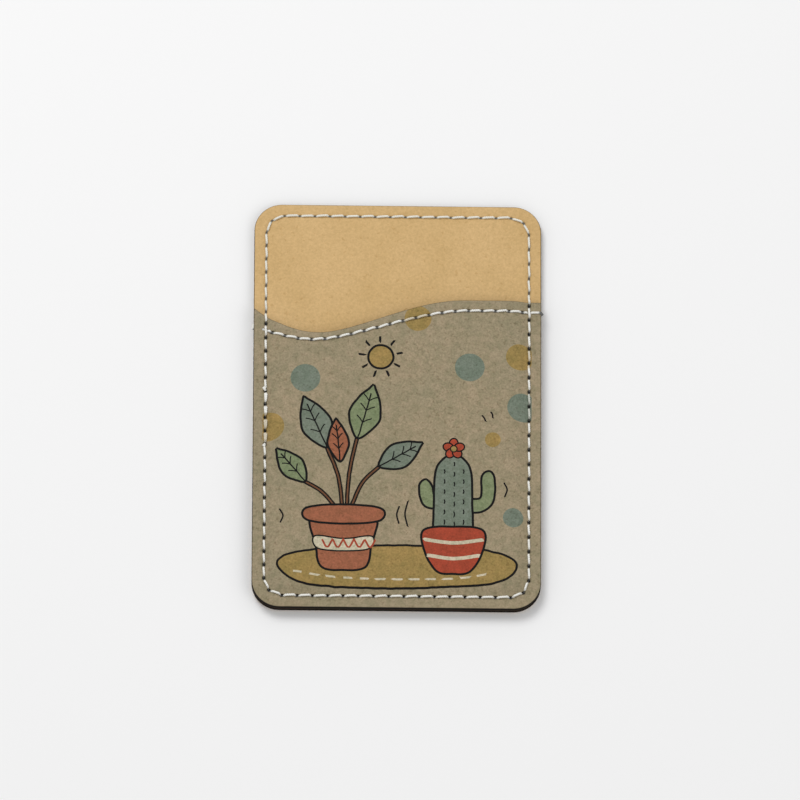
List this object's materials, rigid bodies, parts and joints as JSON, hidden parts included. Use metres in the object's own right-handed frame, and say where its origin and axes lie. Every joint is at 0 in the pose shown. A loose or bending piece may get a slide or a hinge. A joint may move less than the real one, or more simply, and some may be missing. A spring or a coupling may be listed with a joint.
{
  "type": "stick on phone card holder",
  "caption": "Slim leather card sleeve with an adhesive back, a curved pocket mouth, rounded corners and stitched seams, to stick on the back of a phone.",
  "frame": {"origin": "centre of the adhesive's sticky face, on the phone's surface", "axes": "+Z out of the front of the pocket, +Y towards the pocket's mouth and the top edge, +X to the right when looking at the front"},
  "size_m": [0.062, 0.093, 0.0044],
  "materials": {
    "adhesive": "smooth tacky acrylic adhesive, off-white",
    "tan_leather": "matt fine-grained tan artificial leather with a dark cut edge",
    "printed_leather": "matt suede-like grey-beige artificial leather with a printed design and a dark cut edge",
    "thread": "off-white twisted polyester sewing thread"
  },
  "bodies": {
    "root": {"adhesive_sheet": "adhesive", "back_panel": "tan_leather", "front_pocket": "printed_leather", "edge_seam_needle_thread": "thread", "edge_seam_bobbin_thread": "thread", "mouth_seam_needle_thread": "thread", "mouth_seam_bobbin_thread": "thread"}
  },
  "joints": []
}
